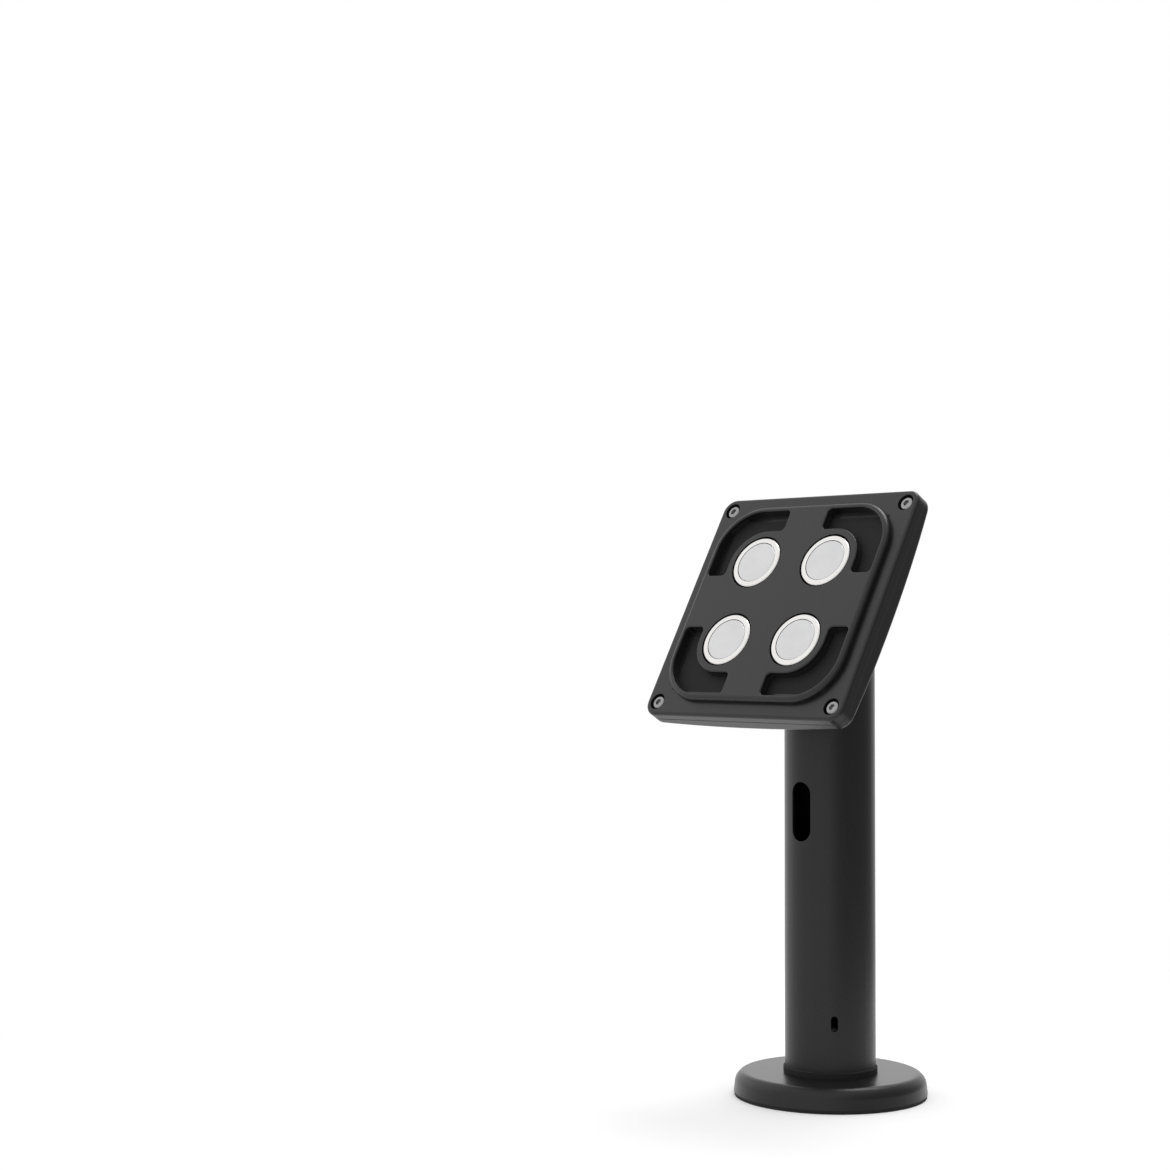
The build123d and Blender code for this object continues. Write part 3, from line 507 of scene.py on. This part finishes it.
def soft_lamp(name, size, power, place, aim):
    """A square soft lamp that looks at a point and stays out of the picture."""
    lamp = bpy.data.lights.new(name, "AREA")
    lamp.size = size
    lamp.energy = power
    holder = bpy.data.objects.new(name, lamp)
    bpy.context.scene.collection.objects.link(holder)
    holder.location = place
    holder.rotation_euler = (Vector(aim) - Vector(place)).to_track_quat("-Z", "Y").to_euler()
    holder.visible_camera = False


def background_ray(tree):
    """One where the camera, a reflection or a clear piece looks, and zero for plain light."""
    paths = add_node(tree, "ShaderNodeLightPath").outputs
    seen = combined(tree, "MAXIMUM", paths["Is Camera Ray"], paths["Is Glossy Ray"])
    return combined(tree, "MAXIMUM", seen, paths["Is Transmission Ray"])


def studio_white(tree, toward, dark):
    """White to the camera; in reflections it falls off to the unlit right of the studio."""
    away = add_node(tree, "ShaderNodeVectorMath", {0: toward, 1: UNLIT_SIDE}, operation="DOT_PRODUCT")
    fall = add_node(tree, "ShaderNodeMapRange", {
        "Value": away.outputs["Value"], "From Min": 0.0, "From Max": 0.8, "To Min": 1.0, "To Max": dark},
        interpolation_type="SMOOTHSTEP").outputs["Result"]
    return combined(tree, "MAXIMUM", fall, add_node(tree, "ShaderNodeLightPath").outputs["Is Camera Ray"])


def pale_floor(settings):
    """Matt pale floor that keeps the shadow near the stand and fades to the white background."""
    material, tree, where = new_finish("matt_pale_floor")
    distance = add_node(tree, "ShaderNodeVectorMath", {0: where}, operation="LENGTH").outputs["Value"]
    toward = add_node(tree, "ShaderNodeVectorMath", {0: where}, operation="NORMALIZE").outputs["Vector"]
    fade = add_node(tree, "ShaderNodeMapRange", {
        "Value": distance, "From Min": settings.shadow_reach / 2, "From Max": settings.shadow_reach,
        "To Min": 0.0, "To Max": 1.0}, interpolation_type="SMOOTHSTEP").outputs["Result"]
    seen = background_ray(tree)
    matt = add_node(tree, "ShaderNodeBsdfPrincipled", {
        "Base Color": clouded(tree, where, settings.floor_colour, size_mm=1.5, dark=0.99, light=1.0),
        "Roughness": 0.9, "Specular IOR Level": 0.0, "Emission Color": (1, 1, 1, 1),
        "Emission Strength": combined(tree, "MULTIPLY", seen, settings.floor_lift)})
    plain = add_node(tree, "ShaderNodeEmission", {
        "Color": (1, 1, 1, 1), "Strength": studio_white(tree, toward, settings.dark_side)})
    mixed = add_node(tree, "ShaderNodeMixShader", {
        0: combined(tree, "MULTIPLY", fade, seen), 1: matt.outputs["BSDF"], 2: plain.outputs["Emission"]})
    add_node(tree, "ShaderNodeOutputMaterial", {"Surface": mixed.outputs["Shader"]})
    return material


def studio_world(settings):
    """Even light from all round, and a white background for whatever looks at it."""
    world = bpy.data.worlds.new("studio")
    world.use_nodes = True
    tree = world.node_tree
    tree.nodes.clear()
    toward = add_node(tree, "ShaderNodeTexCoord").outputs["Generated"]
    room = add_node(tree, "ShaderNodeBackground", {"Color": (1, 1, 1, 1), "Strength": settings.room_light})
    white = add_node(tree, "ShaderNodeBackground", {
        "Color": (1, 1, 1, 1), "Strength": studio_white(tree, toward, settings.dark_side)})
    both = add_node(tree, "ShaderNodeMixShader", {
        0: background_ray(tree), 1: room.outputs[0], 2: white.outputs[0]})
    add_node(tree, "ShaderNodeOutputWorld", {"Surface": both.outputs[0]})
    return world


class STAND_OT_stage(Operator):
    """Adds the floor, the room light, the lamps and the camera"""

    bl_idname = "stand.stage"
    bl_label = "Build the stage"

    def execute(self, context):
        settings = context.scene.stand_stage
        bpy.ops.object.select_all(action="DESELECT")
        bpy.ops.mesh.primitive_plane_add(size=settings.floor_size, location=(0, 0, 0))
        floor = context.object
        floor.name = "floor"
        floor.data.materials.append(pale_floor(settings))

        context.scene.world = studio_world(settings)
        soft_lamp("key_lamp", settings.key_size, settings.key_power, settings.key_place, settings.aim)
        soft_lamp("top_lamp", settings.top_size, settings.top_power, settings.top_place, settings.aim)
        soft_lamp("back_lamp", settings.back_size, settings.back_power, settings.back_place, settings.aim)

        lens = bpy.data.cameras.new("photo_camera")
        lens.sensor_width = SENSOR
        lens.lens = settings.focal_pixels / PHOTO_SIDE * SENSOR
        lens.clip_start = 50 * MM
        camera = bpy.data.objects.new("photo_camera", lens)
        context.scene.collection.objects.link(camera)
        camera.location = (
            settings.camera_distance * math.sin(settings.camera_side),
            -settings.camera_distance * math.cos(settings.camera_side),
            settings.camera_height,
        )
        camera.rotation_euler = (
            math.pi / 2 + settings.camera_pitch, 0, settings.camera_side + settings.camera_turn)
        context.scene.camera = camera
        context.scene.view_settings.view_transform = "Standard"
        return {"FINISHED"}


class STAND_PT_sidebar(Panel):
    """Lists the steps that dress the stand"""

    bl_idname = "STAND_PT_sidebar"
    bl_label = "Tablet stand"
    bl_space_type = "VIEW_3D"
    bl_region_type = "UI"
    bl_category = "Stand"

    def draw(self, context):
        layout = self.layout
        for settings in (context.scene.stand_finishes, context.scene.stand_stage):
            for name in settings.__annotations__:
                layout.prop(settings, name)
        for step in STEPS:
            layout.operator(step.bl_idname)


STEPS = (
    STAND_OT_foot, STAND_OT_pole, STAND_OT_hinge, STAND_OT_turn, STAND_OT_head, STAND_OT_magnets,
    STAND_OT_stage,
)
CLASSES = (StandFinishes, StandStage, *STEPS, STAND_PT_sidebar)


def register():
    for cls in CLASSES:
        bpy.utils.register_class(cls)
    bpy.types.Scene.stand_finishes = PointerProperty(type=StandFinishes)
    bpy.types.Scene.stand_stage = PointerProperty(type=StandStage)


def unregister():
    del bpy.types.Scene.stand_stage
    del bpy.types.Scene.stand_finishes
    for cls in reversed(CLASSES):
        bpy.utils.unregister_class(cls)


def main():
    """Runs every step in order."""
    register()
    bpy.ops.stand.foot()
    bpy.ops.stand.pole()
    bpy.ops.stand.hinge()
    bpy.ops.stand.turn()
    bpy.ops.stand.head()
    bpy.ops.stand.magnets()
    bpy.ops.stand.stage()


if __name__ == "__main__":
    main()
